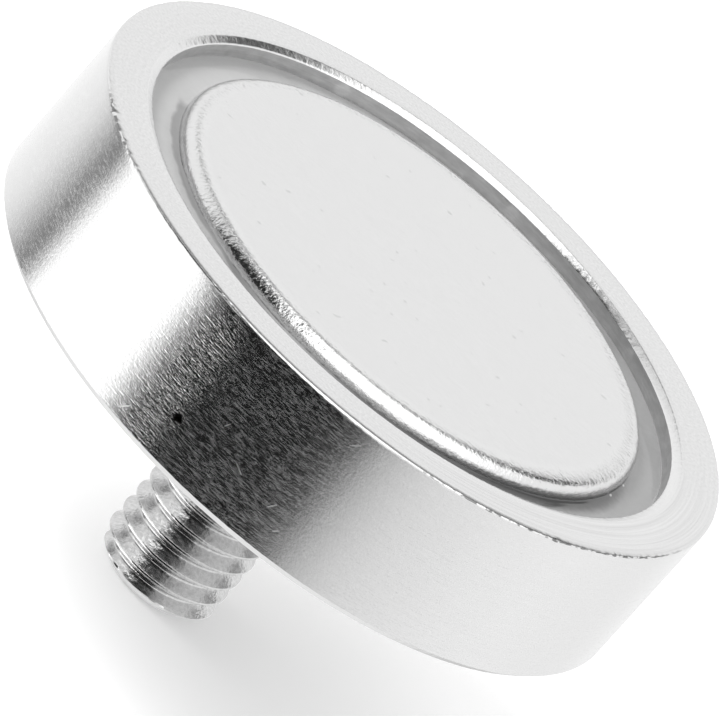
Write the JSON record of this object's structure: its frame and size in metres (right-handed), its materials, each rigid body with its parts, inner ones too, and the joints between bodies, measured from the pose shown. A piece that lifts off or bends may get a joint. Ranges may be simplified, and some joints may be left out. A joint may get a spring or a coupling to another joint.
{
  "type": "magnet fishing magnet",
  "caption": "Round pot magnet for retrieving steel objects from water: plated steel cup, magnet disc potted in resin, and a threaded stud on the back.",
  "frame": {"origin": "centre of the pot's flat back, where the stud leaves it", "axes": "+Z along the axis towards the magnet face; the stud points along -Z"},
  "size_m": [0.043, 0.043, 0.0244],
  "materials": {
    "pot_nickel": "satin nickel plate",
    "magnet_nickel": "bright nickel plate",
    "resin": "cast epoxy",
    "adhesive": "cured adhesive film",
    "stud_zinc": "bright zinc plate"
  },
  "bodies": {
    "root": {"pot": "pot_nickel", "magnet": "magnet_nickel", "potting": "resin", "bond": "adhesive", "stud": "stud_zinc"}
  },
  "joints": []
}
